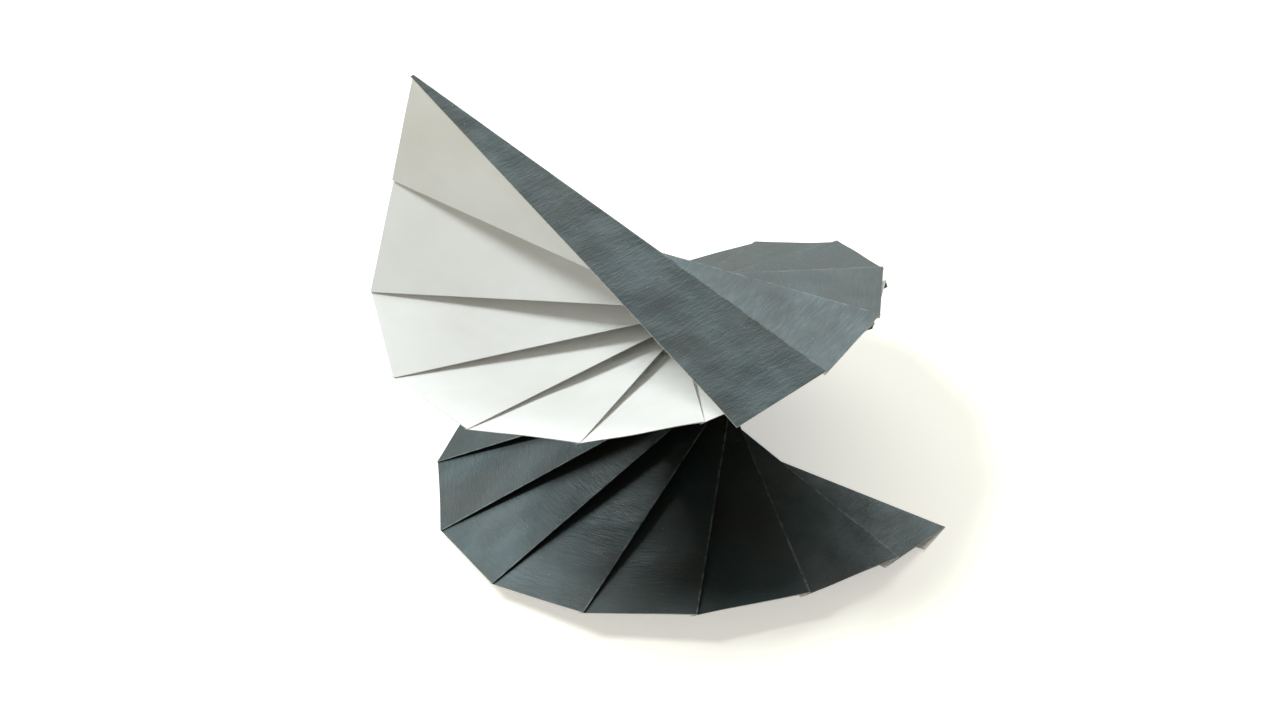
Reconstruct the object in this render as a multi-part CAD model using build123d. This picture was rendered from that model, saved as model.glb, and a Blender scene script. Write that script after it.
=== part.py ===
from build123d import *
from math import exp, radians, tan
import os

# Origami spiral: one strip of two-tone paper, black on one face and white on the other. Square
# creases alternate with slanting ones, so the strip winds once round like a spiral stair.
# Millimetres and degrees; the strip lies flat with its black face up before it is folded.

# The flat strip: a quarter of a square sheet
strip_length = 300.0
strip_width = 75.0
pleat_count = 16
paper_thickness = 0.1
end_slant = 5.6

# The narrow ends of the pleats, where two creases nearly meet on one edge of the strip: the flat
# paper left between the two folds. On the left edge the narrow ends are wider in the lower turn,
# and on the right edge they widen over the last pleats.
left_crease_gap = 0.0227
lower_turn_growth = 2.9
lower_turn_start = 9.2
lower_turn_spread = 0.8
right_crease_gap = 0.0427
last_growth = 4.8
last_growth_reach = 1.2

# How far each fold stands open, where 0 is pressed flat. The slanting folds are ridges on the
# black face and the square ones are valleys. The first pleats have sprung open at the top end,
# and the last ridge is pressed down because the piece stands on it.
ridge_opening = 9.9
sprung_ridge = 67.7
ridge_reach = 1.1
last_ridge_opening = 8.0
valley_opening = 14.1
sprung_valley = 70.2
valley_reach = 1.25

# Where the last ridge points on the table
last_ridge_heading = -30.0

pleat_spacing = strip_length / pleat_count
last_pleat = pleat_count - 1
last_line = 2 * pleat_count
last_ridge = last_line - 1
half = paper_thickness / 2
black_side = Vector(0, 0, 1)


# The lines across the flat strip are numbered along it: the cut end, then ridge and valley in
# turn, then the other cut end.
def is_ridge(line):
    return line % 2 == 1


def opening(line):
    pleat = line // 2
    if line == last_ridge:
        return last_ridge_opening
    if is_ridge(line):
        return ridge_opening + sprung_ridge * exp(-pleat / ridge_reach)
    return valley_opening + sprung_valley * exp((1 - pleat) / valley_reach)


# On the hollow side of a fold the two faces meet this far short of the crease.
def set_back_at(angle):
    return half / tan(radians(angle / 2))


def set_back(line):
    return set_back_at(opening(line))


def square_line(pleat):
    left = Vector(0, pleat * pleat_spacing + end_slant)
    right = Vector(strip_width, pleat * pleat_spacing)
    return left, right


# A narrow end holds the set-back of the tightest pleats' folds and its own gap of flat paper.
tight_set_back = set_back_at(min(ridge_opening, valley_opening))
left_notch = tight_set_back + left_crease_gap
right_notch = tight_set_back + right_crease_gap


def slanting_line(pleat):
    in_lower_turn = 1 / (1 + exp((lower_turn_start - pleat) / lower_turn_spread))
    near_the_end = exp((pleat - last_pleat) / last_growth_reach)
    at_left = left_notch + lower_turn_growth * in_lower_turn
    at_right = right_notch + last_growth * near_the_end
    left = square_line(pleat)[0] + Vector(0, at_left)
    right = square_line(pleat + 1)[1] - Vector(0, at_right)
    return left, right


lines = []
for pleat in range(pleat_count):
    lines += [square_line(pleat), slanting_line(pleat)]
lines.append(square_line(pleat_count))


# Folding: each crease turns everything beyond it, so a panel's place is the place of the panel
# before it and one turn about the crease between them.
def fold_at(line):
    left, right = lines[line]
    turn = 180 - opening(line)
    if is_ridge(line):
        turn = -turn
    return Location(left, right - left, turn) * Location(-left)


panel_places = [Location()]
for line in range(1, last_line):
    panel_places.append(panel_places[-1] * fold_at(line))


def folded(panel, flat_point):
    return (panel_places[panel] * Location(flat_point)).position


# Standing: the table lies under both ends of the last ridge and tips up to the first corner of the
# rim that it meets, so no corner is below it. The last ridge then takes its heading.
left_foot = folded(last_ridge, lines[last_ridge][0])
right_foot = folded(last_ridge, lines[last_ridge][1])
rim = [folded(line, lines[line][1]) for line in range(last_ridge - 2)]


def table_under(front_foot):
    upward = (front_foot - left_foot).cross(right_foot - left_foot)
    return Plane(left_foot, right_foot - left_foot, upward)


def lowest_corner(table):
    return min(table.to_local_coords(corner).Z for corner in rim)


table = max([table_under(corner) for corner in rim], key=lowest_corner)
stood = Rotation(0, 0, last_ridge_heading) * table.location.inverse()
panel_places = [stood * place for place in panel_places]


# Paper corners: where a cut end or a crease meets the strip's edge, on one face of one panel. On
# the hollow side of a fold both faces meet in one corner, and on the full side they stay apart.
def corner(panel, line, end, face):
    point = lines[line][end]
    flat_corner = point + black_side * half * face
    hollow_face = -1 if is_ridge(line) else 1
    if line in (0, last_line) or face != hollow_face:
        return folded(panel, flat_corner)
    left, right = lines[line]
    across = black_side.cross(right - left).normalized()
    into_panel = -1 if panel < line else 1
    return folded(panel, flat_corner + across * into_panel * set_back(line))


def panel_face(panel, face):
    near, far = panel, panel + 1
    corners = [corner(panel, near, 0, face), corner(panel, near, 1, face)]
    corners += [corner(panel, far, 1, face), corner(panel, far, 0, face)]
    return Face(Wire.make_polygon(corners))


# The strip's long edges: a cut face along each panel, split on its diagonal because the tight
# folds at its two ends pull it slightly out of flat.
def cut_edge(panel, end):
    black_near, white_near = corner(panel, panel, end, 1), corner(panel, panel, end, -1)
    black_far, white_far = corner(panel, panel + 1, end, 1), corner(panel, panel + 1, end, -1)
    upper = Face(Wire.make_polygon([black_near, black_far, white_far]))
    lower = Face(Wire.make_polygon([black_near, white_far, white_near]))
    return [upper, lower]


def cut_end(panel, line):
    corners = [corner(panel, line, 0, 1), corner(panel, line, 1, 1)]
    corners += [corner(panel, line, 1, -1), corner(panel, line, 0, -1)]
    return Face(Wire.make_polygon(corners))


# The full side of a fold is a round of half the paper's thickness about the crease, closed at each
# end of the crease by a small flat face that runs in to the corner on the hollow side.
def fold_round(line):
    full_face = 1 if is_ridge(line) else -1
    faces = []
    arcs = []
    for end in (0, 1):
        before = corner(line - 1, line, end, full_face)
        after = corner(line, line, end, full_face)
        hollow = corner(line - 1, line, end, -full_face)
        centre = folded(line, lines[line][end])
        crown = centre + (centre - hollow).normalized() * half
        arc = Edge.make_three_point_arc(before, crown, after)
        arcs.append(arc)
        sides = [Edge.make_line(after, hollow), Edge.make_line(hollow, before)]
        faces.append(Face(Wire([arc] + sides)))
    crease = folded(line, lines[line][1]) - folded(line, lines[line][0])
    faces.append(Face.extrude(arcs[0], crease))
    return faces


def folded_strip():
    faces = [cut_end(0, 0), cut_end(last_ridge, last_line)]
    for panel in range(last_line):
        faces += [panel_face(panel, 1), panel_face(panel, -1)]
        faces += cut_edge(panel, 0) + cut_edge(panel, 1)
    for line in range(1, last_line):
        faces += fold_round(line)
    return Solid(Shell(faces))


# The origin is under the middle of the folded strip's box, on the table.
spiral = folded_strip()
box = spiral.bounding_box()
spiral = spiral.translate((-box.center().X, -box.center().Y, -box.min.Z))

os.makedirs("parts", exist_ok=True)
export_step(spiral, "parts/folded_strip.step")
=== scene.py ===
import bpy
from math import cos, exp, radians, sin, tan
from mathutils import Euler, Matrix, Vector


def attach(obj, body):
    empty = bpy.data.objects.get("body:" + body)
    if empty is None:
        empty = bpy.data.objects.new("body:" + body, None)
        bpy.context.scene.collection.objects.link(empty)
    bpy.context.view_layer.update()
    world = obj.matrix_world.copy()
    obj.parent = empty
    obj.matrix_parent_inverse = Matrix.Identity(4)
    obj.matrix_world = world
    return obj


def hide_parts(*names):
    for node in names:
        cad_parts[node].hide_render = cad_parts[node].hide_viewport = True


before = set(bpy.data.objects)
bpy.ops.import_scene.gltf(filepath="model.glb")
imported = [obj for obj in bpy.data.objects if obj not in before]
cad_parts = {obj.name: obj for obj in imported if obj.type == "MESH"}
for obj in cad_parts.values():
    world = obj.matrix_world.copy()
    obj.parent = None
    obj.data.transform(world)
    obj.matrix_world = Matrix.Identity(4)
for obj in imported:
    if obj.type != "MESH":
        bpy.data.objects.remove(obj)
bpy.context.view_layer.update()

# The flat strip: a quarter of a square sheet of paper, black on one face and white on the other. It
# is creased fifteen times square and sixteen times on a slant. Its cut ends lean a little, and the
# square creases lean with them.
strip_length = 0.3
strip_width = 0.075
pleat_count = 16
paper_thickness = 0.0001
end_slant = 0.0056
pleat_spacing = strip_length / pleat_count
last_pleat = pleat_count - 1
last_line = 2 * pleat_count
last_ridge = last_line - 1

# How far each fold stands open, where 0 is pressed flat: slanting creases are ridges on the black
# face and square ones are valleys. The paper has sprung back most in the first pleats, at the top,
# and the last ridge is pressed down because the spiral stands on it.
ridge_opening = 9.9
sprung_ridge = 67.7
ridge_reach = 1.1
last_ridge_opening = 8.0
valley_opening = 14.1
sprung_valley = 70.2
valley_reach = 1.25


def is_ridge(line):
    return line % 2 == 1


def opening(line):
    pleat = line // 2
    if line == last_ridge:
        return last_ridge_opening
    if is_ridge(line):
        return ridge_opening + sprung_ridge * exp(-pleat / ridge_reach)
    return valley_opening + sprung_valley * exp((1 - pleat) / valley_reach)


def set_back(line):
    """How far short of the crease the two faces meet, on the hollow side of the fold."""
    return paper_thickness / 2 / tan(radians(opening(line) / 2))


# The narrow ends of the pleats, where two creases nearly meet: those on the left edge are wider in
# the lower turn, and those on the right edge widen over the last pleats.
left_notch = 0.0006
lower_turn_growth = 0.0029
lower_turn_start = 9.2
lower_turn_spread = 0.8
right_notch = 0.00062
last_growth = 0.0048
last_growth_reach = 1.2


def narrow_ends(pleat):
    in_lower_turn = 1 / (1 + exp((lower_turn_start - pleat) / lower_turn_spread))
    near_the_end = exp((pleat - last_pleat) / last_growth_reach)
    return left_notch + lower_turn_growth * in_lower_turn, right_notch + last_growth * near_the_end


def crease(line):
    """The two ends of a crease on the flat strip."""
    pleat = line // 2
    left, right = pleat * pleat_spacing + end_slant, pleat * pleat_spacing
    if is_ridge(line):
        at_left, at_right = narrow_ends(pleat)
        left, right = left + at_left, right + pleat_spacing - at_right
    return Vector((0, left, 0)), Vector((strip_width, right, 0))


# The sheet of paper, still flat: a black face, a white face and the cut edge between them. Each
# panel is a grid of small faces, and the full side of a crease is a narrow round of the paper.
panel_rows = 12
panel_columns = 64
round_steps = 4
BLACK, WHITE, CUT = 0, 1, 2


class FlatSheet:
    """The points and faces of the flat sheet, with what the folding and the inks need to know."""

    def __init__(self):
        self.places = []
        self.faces = []
        self.face_papers = []
        self.facts = {"folds_passed": [], "turn": [], "slack": [], "from_ridge": []}

    def point(self, place, **facts):
        self.places.append(place)
        for name, values in self.facts.items():
            values.append(facts.get(name, 0.0))
        return len(self.places) - 1

    def grid(self, rows, paper, outward):
        for lower, upper in zip(rows, rows[1:]):
            for corners in zip(lower, lower[1:], upper[1:], upper):
                self.faces.append(corners if outward else corners[::-1])
                self.face_papers.append(paper)


# The first points only mark the lines for the folding: two to a line, its left end and its right.
sheet = FlatSheet()
for line in range(last_line + 1):
    turn = radians(180 - opening(line)) * (-1 if is_ridge(line) else 1)
    for end in crease(line):
        sheet.point(end, folds_passed=min(line, last_ridge), turn=turn)


def slack_at(panel, share):
    """How freely the paper can wave there: least at a crease, and most at the free end of the top
    panel. The last panel lies pressed under the spiral."""
    if panel == 0:
        return 1 - share
    if panel == last_ridge:
        return 0.0
    return 4 * share * (1 - share)


def face_row(panel, share, side):
    """One row of points across the strip, from its left edge to its right one."""
    near, far = list(crease(panel)), list(crease(panel + 1))
    for line, ends, into_panel in ((panel, near, 1), (panel + 1, far, -1)):
        hollow_side = -1 if is_ridge(line) else 1
        if side == hollow_side and 0 < line < last_line:
            way = ends[1] - ends[0]
            across = Vector((-way.y, way.x, 0)).normalized() * into_panel * set_back(line)
            ends[:] = [end + across for end in ends]
    row = []
    for column in range(panel_columns + 1):
        along = column / panel_columns
        start, stop = near[0].lerp(near[1], along), far[0].lerp(far[1], along)
        width = (stop - start).length
        from_ridge = (share if is_ridge(panel) else 1 - share) * width
        place = start.lerp(stop, share) + Vector((0, 0, side * paper_thickness / 2))
        row.append(sheet.point(place, folds_passed=float(panel), from_ridge=from_ridge,
                               slack=slack_at(panel, share) * width / pleat_spacing))
    return row


def round_rows(line, side, before, after):
    """The rows of the round on the full side of a crease, between the two panels it joins."""
    left, right = crease(line)
    rows = [before]
    for step in range(1, round_steps):
        row = []
        for column in range(panel_columns + 1):
            place = left.lerp(right, column / panel_columns) + Vector((0, 0, side * paper_thickness / 2))
            row.append(sheet.point(place, folds_passed=line - 1 + step / round_steps))
        rows.append(row)
    return rows + [after]


panels = {}
for side, paper in ((1, BLACK), (-1, WHITE)):
    for panel in range(last_line):
        rows = [face_row(panel, step / panel_rows, side) for step in range(panel_rows + 1)]
        sheet.grid(rows, paper, outward=side > 0)
        panels[panel, side] = rows
    for line in range(1, last_line):
        if (side > 0) == is_ridge(line):
            rows = round_rows(line, side, panels[line - 1, side][-1], panels[line, side][0])
            sheet.grid(rows, paper, outward=side > 0)
            panels[line, "round"] = rows

for panel in range(last_line):
    for end in (0, -1):
        upper = [row[end] for row in panels[panel, 1]]
        lower = [row[end] for row in panels[panel, -1]]
        sheet.grid([lower, upper], CUT, outward=end == -1)
for line in range(1, last_line):
    side = 1 if is_ridge(line) else -1
    for end in (0, -1):
        hollow = panels[line, -side][0][end]
        arc = [row[end] for row in panels[line, "round"]]
        for corner, next_corner in zip(arc, arc[1:]):
            triangle = (hollow, corner, next_corner)
            sheet.faces.append(triangle if (end == -1) == (side < 0) else triangle[::-1])
            sheet.face_papers.append(CUT)
sheet.grid([panels[0, 1][0], panels[0, -1][0]], CUT, outward=False)
sheet.grid([panels[last_ridge, 1][-1], panels[last_ridge, -1][-1]], CUT, outward=True)

flat_mesh = bpy.data.meshes.new("folded_sheet")
flat_mesh.from_pydata(sheet.places, [], sheet.faces)
for name, values in sheet.facts.items():
    flat_mesh.attributes.new(name, "FLOAT", "POINT").data.foreach_set("value", values)
flat_mesh.attributes.new("paper", "INT", "FACE").data.foreach_set("value", sheet.face_papers)
grain = flat_mesh.uv_layers.new(name="grain")
for loop in flat_mesh.loops:
    place = sheet.places[loop.vertex_index]
    grain.data[loop.index].uv = (place.x / strip_width, place.y / strip_width)
paper = bpy.data.objects.new("paper_spiral", flat_mesh)
bpy.context.collection.objects.link(paper)


class Signal:
    """One output of a node. Arithmetic on it adds the Math nodes behind the expression."""

    def __init__(self, tree, socket=None):
        self.tree = tree
        self.socket = socket

    def node(self, kind, settings=None, inputs=None, out=0):
        made = self.tree.nodes.new(kind)
        for name, value in (settings or {}).items():
            if name == "stops":
                for point, (place, colour) in zip(made.color_ramp.elements, value):
                    point.position, point.color = place, (*colour, 1)
            else:
                setattr(made, name, value)
        for name, value in (inputs or {}).items():
            if isinstance(value, Signal):
                self.tree.links.new(value.socket, made.inputs[name])
            else:
                made.inputs[name].default_value = value
        return Signal(self.tree, made.outputs[out] if made.outputs else None)

    def maths(self, operation, *values):
        return self.node("ShaderNodeMath", {"operation": operation}, dict(enumerate(values)))

    def __add__(self, other):
        return self.maths("ADD", self, other)

    def __radd__(self, other):
        return self.maths("ADD", other, self)

    def __sub__(self, other):
        return self.maths("SUBTRACT", self, other)

    def __rsub__(self, other):
        return self.maths("SUBTRACT", other, self)

    def __mul__(self, other):
        return self.maths("MULTIPLY", self, other)

    def __rmul__(self, other):
        return self.maths("MULTIPLY", other, self)

    def clamped(self):
        return self.node("ShaderNodeClamp", None, {0: self})

    def between(self, low, high):
        """0 at the low value and 1 at the high one, smooth between them."""
        smooth = {"interpolation_type": "SMOOTHSTEP"}
        return self.node("ShaderNodeMapRange", smooth, {0: self, 1: low, 2: high})


# Folding and standing: the creases are turned one after another from the far end, each with all
# the paper beyond it. The folded strip is then set on its three feet, with the last ridge turned
# to its heading, and the middle of its outline comes over the origin.
front_foot_pleat = 9
last_ridge_heading = -30.0
weld_distance = 2e-6

# By hand the panels come out slightly wavy. Noise runs from 0 to 1, so it swings about its middle.
wave_height = 0.00045
wave_length = 0.016
wave_detail = 1.0
wave_seed = 3.0
noise_middle = 0.5

folding = bpy.data.node_groups.new("fold_and_stand", "GeometryNodeTree")
folding.interface.new_socket("Paper", in_out="INPUT", socket_type="NodeSocketGeometry")
for name, kind in (("Last Line", "NodeSocketInt"), ("Front Foot", "NodeSocketInt"),
                   ("Heading", "NodeSocketFloat"), ("Wave Height", "NodeSocketFloat"),
                   ("Wave Length", "NodeSocketFloat"), ("Wave Seed", "NodeSocketFloat")):
    folding.interface.new_socket(name, in_out="INPUT", socket_type=kind)
folding.interface.new_socket("Spiral", in_out="OUTPUT", socket_type="NodeSocketGeometry")
start = folding.nodes.new("NodeGroupInput")
given = {socket.name: Signal(folding, socket) for socket in start.outputs if socket.name}
tree = Signal(folding)


def held_value(geometry, field, index, kind="FLOAT_VECTOR"):
    """The field's value at one point of the geometry."""
    return tree.node("GeometryNodeSampleIndex", {"data_type": kind, "domain": "POINT"},
                     {"Geometry": geometry, "Value": field, "Index": index})


def vector_maths(operation, first, second):
    return tree.node("ShaderNodeVectorMath", {"operation": operation}, {0: first, 1: second})


def attribute(name, kind="FLOAT"):
    return tree.node("GeometryNodeInputNamedAttribute", {"data_type": kind}, {"Name": name})


position = tree.node("GeometryNodeInputPosition")
flat_place = tree.node("GeometryNodeStoreNamedAttribute", {"data_type": "FLOAT_VECTOR", "domain": "POINT"},
                       {"Geometry": given["Paper"], "Name": "flat_place", "Value": position})
upright = tree.node("GeometryNodeStoreNamedAttribute", {"data_type": "FLOAT_VECTOR", "domain": "POINT"},
                    {"Geometry": flat_place, "Name": "black_side", "Value": (0, 0, 1)})

zone_in = folding.nodes.new("GeometryNodeRepeatInput")
zone_out = folding.nodes.new("GeometryNodeRepeatOutput")
zone_in.pair_with_output(zone_out)
folding.links.new((given["Last Line"] - 1).socket, zone_in.inputs["Iterations"])
folding.links.new(upright.socket, zone_in.inputs["Geometry"])
iteration = Signal(folding, zone_in.outputs["Iteration"])
unfolded = Signal(folding, zone_in.outputs["Geometry"])

line_number = given["Last Line"] - 1 - iteration
left_end = held_value(given["Paper"], position, line_number * 2)
right_end = held_value(given["Paper"], position, line_number * 2 + 1)
crease_turn = held_value(given["Paper"], attribute("turn"), line_number * 2, "FLOAT")
crease_way = vector_maths("SUBTRACT", right_end, left_end)
share = (attribute("folds_passed") - line_number + 1).clamped()
swing = crease_turn * share
turned = {"rotation_type": "AXIS_ANGLE"}
swung = tree.node("ShaderNodeVectorRotate", turned,
                  {"Vector": position, "Center": left_end, "Axis": crease_way, "Angle": swing})
black_side = attribute("black_side", "FLOAT_VECTOR")
swung_side = tree.node("ShaderNodeVectorRotate", turned,
                       {"Vector": black_side, "Axis": crease_way, "Angle": swing})
swung_sides = tree.node("GeometryNodeStoreNamedAttribute", {"data_type": "FLOAT_VECTOR", "domain": "POINT"},
                        {"Geometry": unfolded, "Name": "black_side", "Value": swung_side})
moved = tree.node("GeometryNodeSetPosition", None, {"Geometry": swung_sides, "Position": swung})
folding.links.new(moved.socket, zone_out.inputs["Geometry"])
folded = Signal(folding, zone_out.outputs["Geometry"])

# A pleat has two lines and so four marks, and the front foot is at the right end of its first line.
front_foot = held_value(folded, position, given["Front Foot"] * 4 + 1)
left_foot = held_value(folded, position, (given["Last Line"] - 1) * 2)
right_foot = held_value(folded, position, (given["Last Line"] - 1) * 2 + 1)
ridge_way = vector_maths("SUBTRACT", right_foot, left_foot)
table_up = vector_maths("CROSS_PRODUCT", vector_maths("SUBTRACT", front_foot, left_foot), ridge_way)
table_turn = tree.node("FunctionNodeAxesToRotation", {"primary_axis": "X", "secondary_axis": "Z"},
                       {"Primary Axis": ridge_way, "Secondary Axis": table_up})
table_place = tree.node("FunctionNodeCombineTransform", None,
                        {"Translation": left_foot, "Rotation": table_turn})
onto_table = tree.node("FunctionNodeInvertMatrix", None, {0: table_place})
heading = tree.node("ShaderNodeCombineXYZ", None, {"Z": given["Heading"]})
faced = tree.node("FunctionNodeEulerToRotation", None, {0: heading})
facing = tree.node("FunctionNodeCombineTransform", None, {"Rotation": faced})
standing = tree.node("FunctionNodeMatrixMultiply", None, {0: facing, 1: onto_table})

wave = tree.node("ShaderNodeTexNoise", {"noise_dimensions": "4D"},
                 {"Vector": attribute("flat_place", "FLOAT_VECTOR"), "W": given["Wave Seed"],
                  "Scale": tree.maths("DIVIDE", 1.0, given["Wave Length"]),
                  "Detail": wave_detail})
lift = (wave - noise_middle) * 2 * given["Wave Height"] * attribute("slack")
bulge = tree.node("ShaderNodeVectorMath", {"operation": "SCALE"}, {0: black_side, "Scale": lift})
waved = tree.node("GeometryNodeSetPosition", None, {"Geometry": folded, "Offset": bulge})

by_matrix = {"mode": "MATRIX"}
plain_stood = tree.node("GeometryNodeTransform", by_matrix, {"Geometry": folded, "Transform": standing})
low = tree.node("GeometryNodeBoundBox", None, {0: plain_stood}, out="Min")
high = Signal(folding, low.socket.node.outputs["Max"])
middle = tree.node("ShaderNodeVectorMath", {"operation": "SCALE"},
                   {0: vector_maths("ADD", low, high), "Scale": -0.5})
lowest = tree.node("ShaderNodeSeparateXYZ", None, {0: low}, out="Z")
middle_x = tree.node("ShaderNodeSeparateXYZ", None, {0: middle}, out="X")
middle_y = Signal(folding, middle_x.socket.node.outputs["Y"])
home = tree.node("ShaderNodeCombineXYZ", None, {"X": middle_x, "Y": middle_y, "Z": 0 - lowest})
stood = tree.node("GeometryNodeTransform", by_matrix, {"Geometry": waved, "Transform": standing})
placed = tree.node("GeometryNodeTransform", None, {"Geometry": stood, "Translation": home})

mark_count = given["Last Line"] * 2 + 2
crease_marks = tree.node("FunctionNodeCompare", {"data_type": "FLOAT", "operation": "LESS_THAN"},
                         {0: tree.node("GeometryNodeInputIndex"), 1: mark_count})
unmarked = tree.node("GeometryNodeDeleteGeometry", {"domain": "POINT"},
                     {"Geometry": placed, "Selection": crease_marks})
welded = tree.node("GeometryNodeMergeByDistance", None, {"Geometry": unmarked, "Distance": weld_distance})

# The faces and the cut: the black face is a thin coat of ink with a satin sheen, in fine strokes that
# run along the strip. The white face is the bare paper, and the cut edge shows the paper's core.
# A grain counts how often a pattern repeats across the strip's width, so a larger one is finer.


def paper_material(name):
    material = bpy.data.materials.new(name)
    material.use_nodes = True
    material.node_tree.nodes.clear()
    return material, Signal(material.node_tree)


def finish_paper(tree, colour, roughness, normal, specular, tint=(1, 1, 1, 1)):
    shader = tree.node("ShaderNodeBsdfPrincipled", None, {"Base Color": colour, "Roughness": roughness,
                                                         "Normal": normal, "Specular IOR Level": specular,
                                                         "Specular Tint": tint})
    tree.node("ShaderNodeOutputMaterial", None, {"Surface": shader})


def noise(tree, vector, scale, detail=2.0, roughness=0.5):
    return tree.node("ShaderNodeTexNoise", None, {"Vector": vector, "Scale": scale, "Detail": detail,
                                                  "Roughness": roughness})


def shader_attribute(tree, name):
    return tree.node("ShaderNodeAttribute", {"attribute_name": name}, out="Fac")


def mixed(tree, share, first, second):
    return tree.node("ShaderNodeMix", {"data_type": "RGBA"}, {0: share, 6: first, 7: second}, out=2)


def ramp(tree, place, low, low_colour, high, high_colour):
    return tree.node("ShaderNodeValToRGB", {"stops": ((low, low_colour), (high, high_colour))}, {0: place})


def bump(tree, height, strength, depth):
    return tree.node("ShaderNodeBump", None, {"Height": height, "Strength": strength, "Distance": depth})


# The ink: brownish and teal patches, worn pale in spots along the ridges, with a few pale specks.
# The patches are partly the ink's own tone and partly painted sheen: the teal stands in for a bluish
# reflection.
strokes_lean = radians(4)
strokes_stretch = (1.0, 0.16, 1.0)
strokes_grain = 150.0
fine_strokes_grain = 420.0
patches_grain = 5.5
cockle_grain = 8.0
wear_grain = 46.0
specks_grain = 330.0
brownish_ink = (0.028, 0.029, 0.025)
teal_ink_and_painted_sheen = (0.021, 0.034, 0.036)
patches_tone = 2.6
strokes_tone = 1.5
middle_tone = 0.45
full_wear_reach = 0.00005
wear_reach = 0.0003
wear_colour = (0.30, 0.31, 0.30, 1)
wear_strength = 0.45
speck_colour = (0.5, 0.5, 0.48, 1)
speck_strength = 0.6
ink_roughness = 0.50
roughness_swing = 0.30
cockle_rise = 14
strokes_rise = 1.1
fine_strokes_rise = 0.6
ink_relief = 0.00006
ink_sheen = 0.72
sheen_tint = (0.80, 0.97, 1.0, 1)

black, shade = paper_material("black_face")
grain_place = shade.node("ShaderNodeUVMap", {"uv_map": "grain"})
along_strokes = shade.node("ShaderNodeMapping", None, {"Vector": grain_place, "Scale": strokes_stretch,
                                                      "Rotation": (0, 0, strokes_lean)})
strokes = noise(shade, along_strokes, strokes_grain, detail=4.0, roughness=0.62)
fine_strokes = noise(shade, along_strokes, fine_strokes_grain)
ink_and_sheen_patches = noise(shade, grain_place, patches_grain, detail=3.0, roughness=0.55)
cockle = noise(shade, grain_place, cockle_grain, detail=1.5, roughness=0.45)
ridge_wear = 1 - shader_attribute(shade, "from_ridge").between(full_wear_reach, wear_reach)
worn = noise(shade, grain_place, wear_grain, detail=3.0, roughness=0.6).between(low=0.36, high=0.66)
specks = noise(shade, grain_place, specks_grain, detail=0.0).between(low=0.84, high=0.87)
tone = (ink_and_sheen_patches - noise_middle) * patches_tone + (strokes - noise_middle) * strokes_tone + middle_tone
# The teal end of this colour is partly painted sheen, a bluish reflection laid into the ink's colour.
ink = ramp(shade, tone.clamped(), 0.2, brownish_ink, 0.8, teal_ink_and_painted_sheen)
with_wear = mixed(shade, ridge_wear * worn * wear_strength, ink, wear_colour)
with_specks = mixed(shade, specks * speck_strength, with_wear, speck_colour)
strokes_swing = (strokes - noise_middle) * roughness_swing
patches_swing = (ink_and_sheen_patches - noise_middle) * roughness_swing
roughness = ink_roughness + strokes_swing - patches_swing
bumps = cockle * cockle_rise + strokes * strokes_rise + fine_strokes * fine_strokes_rise
relief = bump(shade, bumps, 1.0, ink_relief)
finish_paper(shade, with_specks, roughness, relief, ink_sheen, sheen_tint)

# The bare paper: slightly cloudy, with fine fibres.
cloud_grain = 9.0
fibres_grain = 420.0
cloud_share = 0.8
fibres_share = 0.2
duller_white = (0.88, 0.875, 0.85)
brighter_white = (0.94, 0.94, 0.925)
paper_roughness = 0.72
paper_roughness_swing = 0.1
fibres_strength = 0.25
paper_relief = 0.00005
paper_sheen = 0.35

white, shade = paper_material("white_face")
grain_place = shade.node("ShaderNodeUVMap", {"uv_map": "grain"})
cloud = noise(shade, grain_place, cloud_grain, detail=4.0, roughness=0.6)
fibres = noise(shade, grain_place, fibres_grain, detail=3.0, roughness=0.6)
bare = ramp(shade, cloud * cloud_share + fibres * fibres_share, 0.3, duller_white, 0.7, brighter_white)
relief = bump(shade, fibres, fibres_strength, paper_relief)
roughness = paper_roughness + (fibres - noise_middle) * paper_roughness_swing
finish_paper(shade, bare, roughness, relief, paper_sheen)

# The cut edge: a little frayed, so darker and lighter spots of the core take turns along it.
fray_grain = 300.0
darker_core = (0.45, 0.45, 0.43)
lighter_core = (0.78, 0.78, 0.75)
cut_roughness = 0.8
fray_strength = 0.3
cut_sheen = 0.3

cut, shade = paper_material("cut_edge")
grain_place = shade.node("ShaderNodeUVMap", {"uv_map": "grain"})
fray = noise(shade, grain_place, fray_grain)
core = ramp(shade, fray, 0.3, darker_core, 0.7, lighter_core)
relief = bump(shade, fray, fray_strength, paper_relief)
roughness = cut_roughness + (fray - noise_middle) * paper_roughness_swing
finish_paper(shade, core, roughness, relief, cut_sheen)

flat_mesh.materials.append(black)
spiral = tree.node("GeometryNodeRealizeInstances", None, {0: welded})
for number, material in ((BLACK, black), (WHITE, white), (CUT, cut)):
    this_paper = tree.node("FunctionNodeCompare", {"data_type": "FLOAT", "operation": "EQUAL"},
                           {0: attribute("paper", "INT"), 1: float(number)})
    spiral = tree.node("GeometryNodeSetMaterial", None, {"Geometry": spiral, "Selection": this_paper,
                                                         "Material": material})
spiral = tree.node("GeometryNodeSetShadeSmooth", None, {"Geometry": spiral, "Shade Smooth": False})
finished = folding.nodes.new("NodeGroupOutput")
folding.links.new(spiral.socket, finished.inputs["Spiral"])

fold = paper.modifiers.new("fold", "NODES")
fold.node_group = folding
sizes = {"Last Line": last_line, "Front Foot": front_foot_pleat, "Heading": radians(last_ridge_heading),
         "Wave Height": wave_height, "Wave Length": wave_length, "Wave Seed": wave_seed}
for socket in folding.interface.items_tree:
    if socket.name in sizes:
        fold[socket.identifier] = sizes[socket.name]
evaluated = paper.evaluated_get(bpy.context.evaluated_depsgraph_get())
folded_mesh = bpy.data.meshes.new_from_object(evaluated)
paper.modifiers.remove(fold)
paper.data = folded_mesh
bpy.data.meshes.remove(flat_mesh)
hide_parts("folded_strip")
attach(paper, "root")

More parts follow.
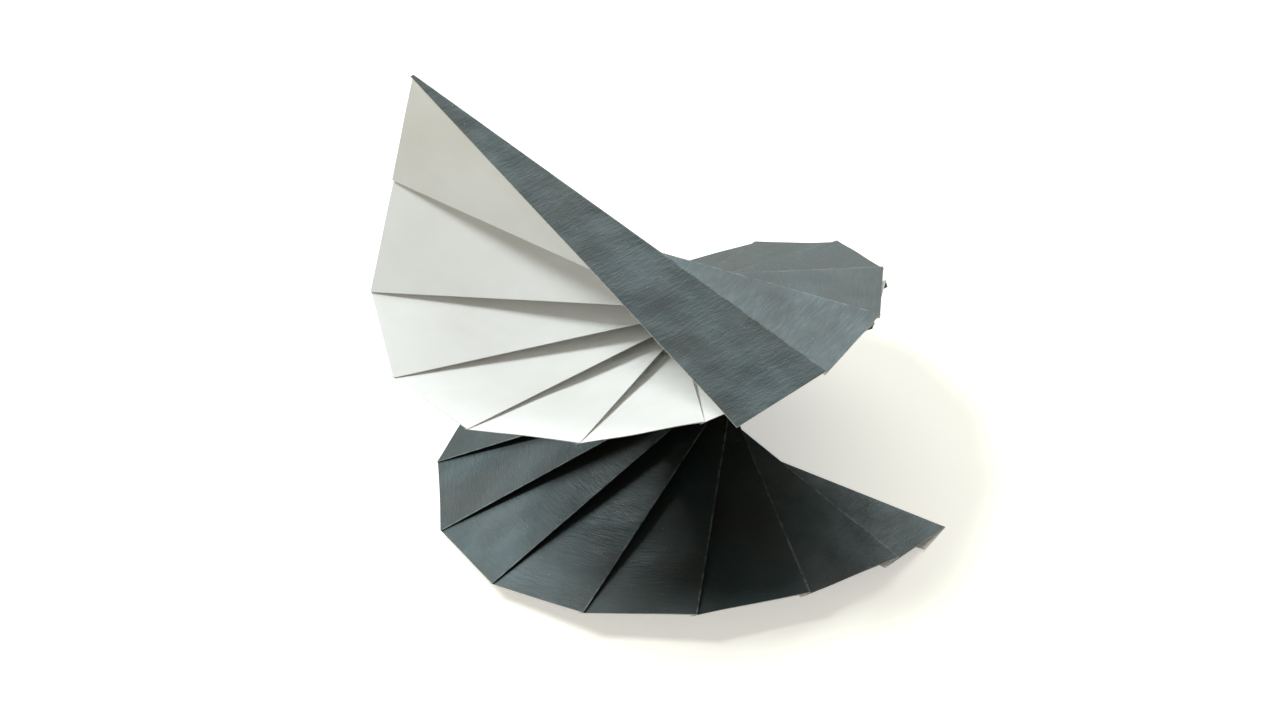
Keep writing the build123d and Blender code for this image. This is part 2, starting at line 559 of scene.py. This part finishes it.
# The floor: a plain pale sheet that runs on past the picture's edge. The picture shows it brighter
# than the light that it throws back on the spiral, and it keeps the spiral's shadow.
floor_size = 3.0
floor_drop = 0.00002
floor_colour = (0.78, 0.745, 0.64, 1)
glow_colour = (1, 0.997, 0.975, 1)
glow_strength = 0.48


def for_picture(tree, lighting, pictured):
    """One shader for the light that things throw on each other, another for what is pictured."""
    seen = tree.node("ShaderNodeLightPath", out="Is Camera Ray")
    return tree.node("ShaderNodeMixShader", None, {0: seen, 1: lighting, 2: pictured})


bpy.ops.mesh.primitive_plane_add(size=floor_size, location=(0, 0, -floor_drop))
floor = bpy.context.object
floor.name = "floor"
floor_finish, shade = paper_material("floor_finish")
matt = shade.node("ShaderNodeBsdfDiffuse", None, {"Color": floor_colour})
glow = shade.node("ShaderNodeEmission", None, {"Color": glow_colour, "Strength": glow_strength})
lit = shade.node("ShaderNodeAddShader", None, {0: matt, 1: glow})
shade.node("ShaderNodeOutputMaterial", None, {"Surface": for_picture(shade, matt, lit)})
floor.data.materials.append(floor_finish)

# Light: daylight from the left and a little behind shades the steps of the white side. A broad window
# behind the spiral puts a sheen on the black facets that face up, and a pale, warmer room fills the
# rest. The backdrop is plain white.
sun_azimuth = radians(-68)
sun_height = radians(52)
sun_strength = 2.7
sun_spread = radians(22)
window_azimuth = radians(2)
window_height = radians(35)
window_width = 1.35
window_tall = 0.62
window_power = 13.0
lamp_distance = 1.2
daylight = (0.91, 0.98, 1.0)
room_colour = (1, 0.94, 0.82, 1)
room_strength = 0.27
backdrop_colour = (1, 1, 1, 1)
backdrop_strength = 1.0


def direction(azimuth, height):
    return Vector((sin(azimuth) * cos(height), cos(azimuth) * cos(height), sin(height)))


def lamp_from(name, kind, towards):
    lamp = bpy.data.lights.new(name, kind)
    lamp.color = daylight
    placed_lamp = bpy.data.objects.new(name, lamp)
    bpy.context.collection.objects.link(placed_lamp)
    placed_lamp.location = towards * lamp_distance
    placed_lamp.rotation_euler = towards.to_track_quat("Z", "Y").to_euler()
    return lamp


sun = lamp_from("daylight", "SUN", direction(sun_azimuth, sun_height))
sun.energy = sun_strength
sun.angle = sun_spread
window = lamp_from("window", "AREA", direction(window_azimuth, window_height))
window.shape = "RECTANGLE"
window.size = window_width
window.size_y = window_tall
window.energy = window_power
world = bpy.data.worlds.new("room")
bpy.context.scene.world = world
world.use_nodes = True
world.node_tree.nodes.clear()
shade = Signal(world.node_tree)
room = shade.node("ShaderNodeBackground", None, {"Color": room_colour, "Strength": room_strength})
backdrop = shade.node("ShaderNodeBackground", None,
                      {"Color": backdrop_colour, "Strength": backdrop_strength})
shade.node("ShaderNodeOutputWorld", None, {"Surface": for_picture(shade, room, backdrop)})

# The camera stands in front, looks down on the spiral and is held a little askew.
camera_aim = Vector((-0.0035, 0.0004, 0.019))
camera_distance = 0.5167
camera_azimuth = radians(-17.43)
camera_height = radians(37.45)
camera_roll = radians(-12.26)
focal_pixels = 3500
picture_width = 1280
sensor_width = 36.0
nearest_seen = 0.01
lens = bpy.data.cameras.new("camera")
lens.sensor_width = sensor_width
lens.lens = focal_pixels / picture_width * sensor_width
lens.clip_start = nearest_seen
camera = bpy.data.objects.new("camera", lens)
bpy.context.collection.objects.link(camera)
back = Vector((-sin(camera_azimuth) * cos(camera_height), -cos(camera_azimuth) * cos(camera_height),
               sin(camera_height)))
camera.location = camera_aim + back * camera_distance
camera.rotation_mode = "QUATERNION"
camera.rotation_quaternion = back.to_track_quat("Z", "Y") @ Euler((0, 0, camera_roll)).to_quaternion()
bpy.context.scene.camera = camera

bpy.context.scene.view_settings.view_transform = "Standard"
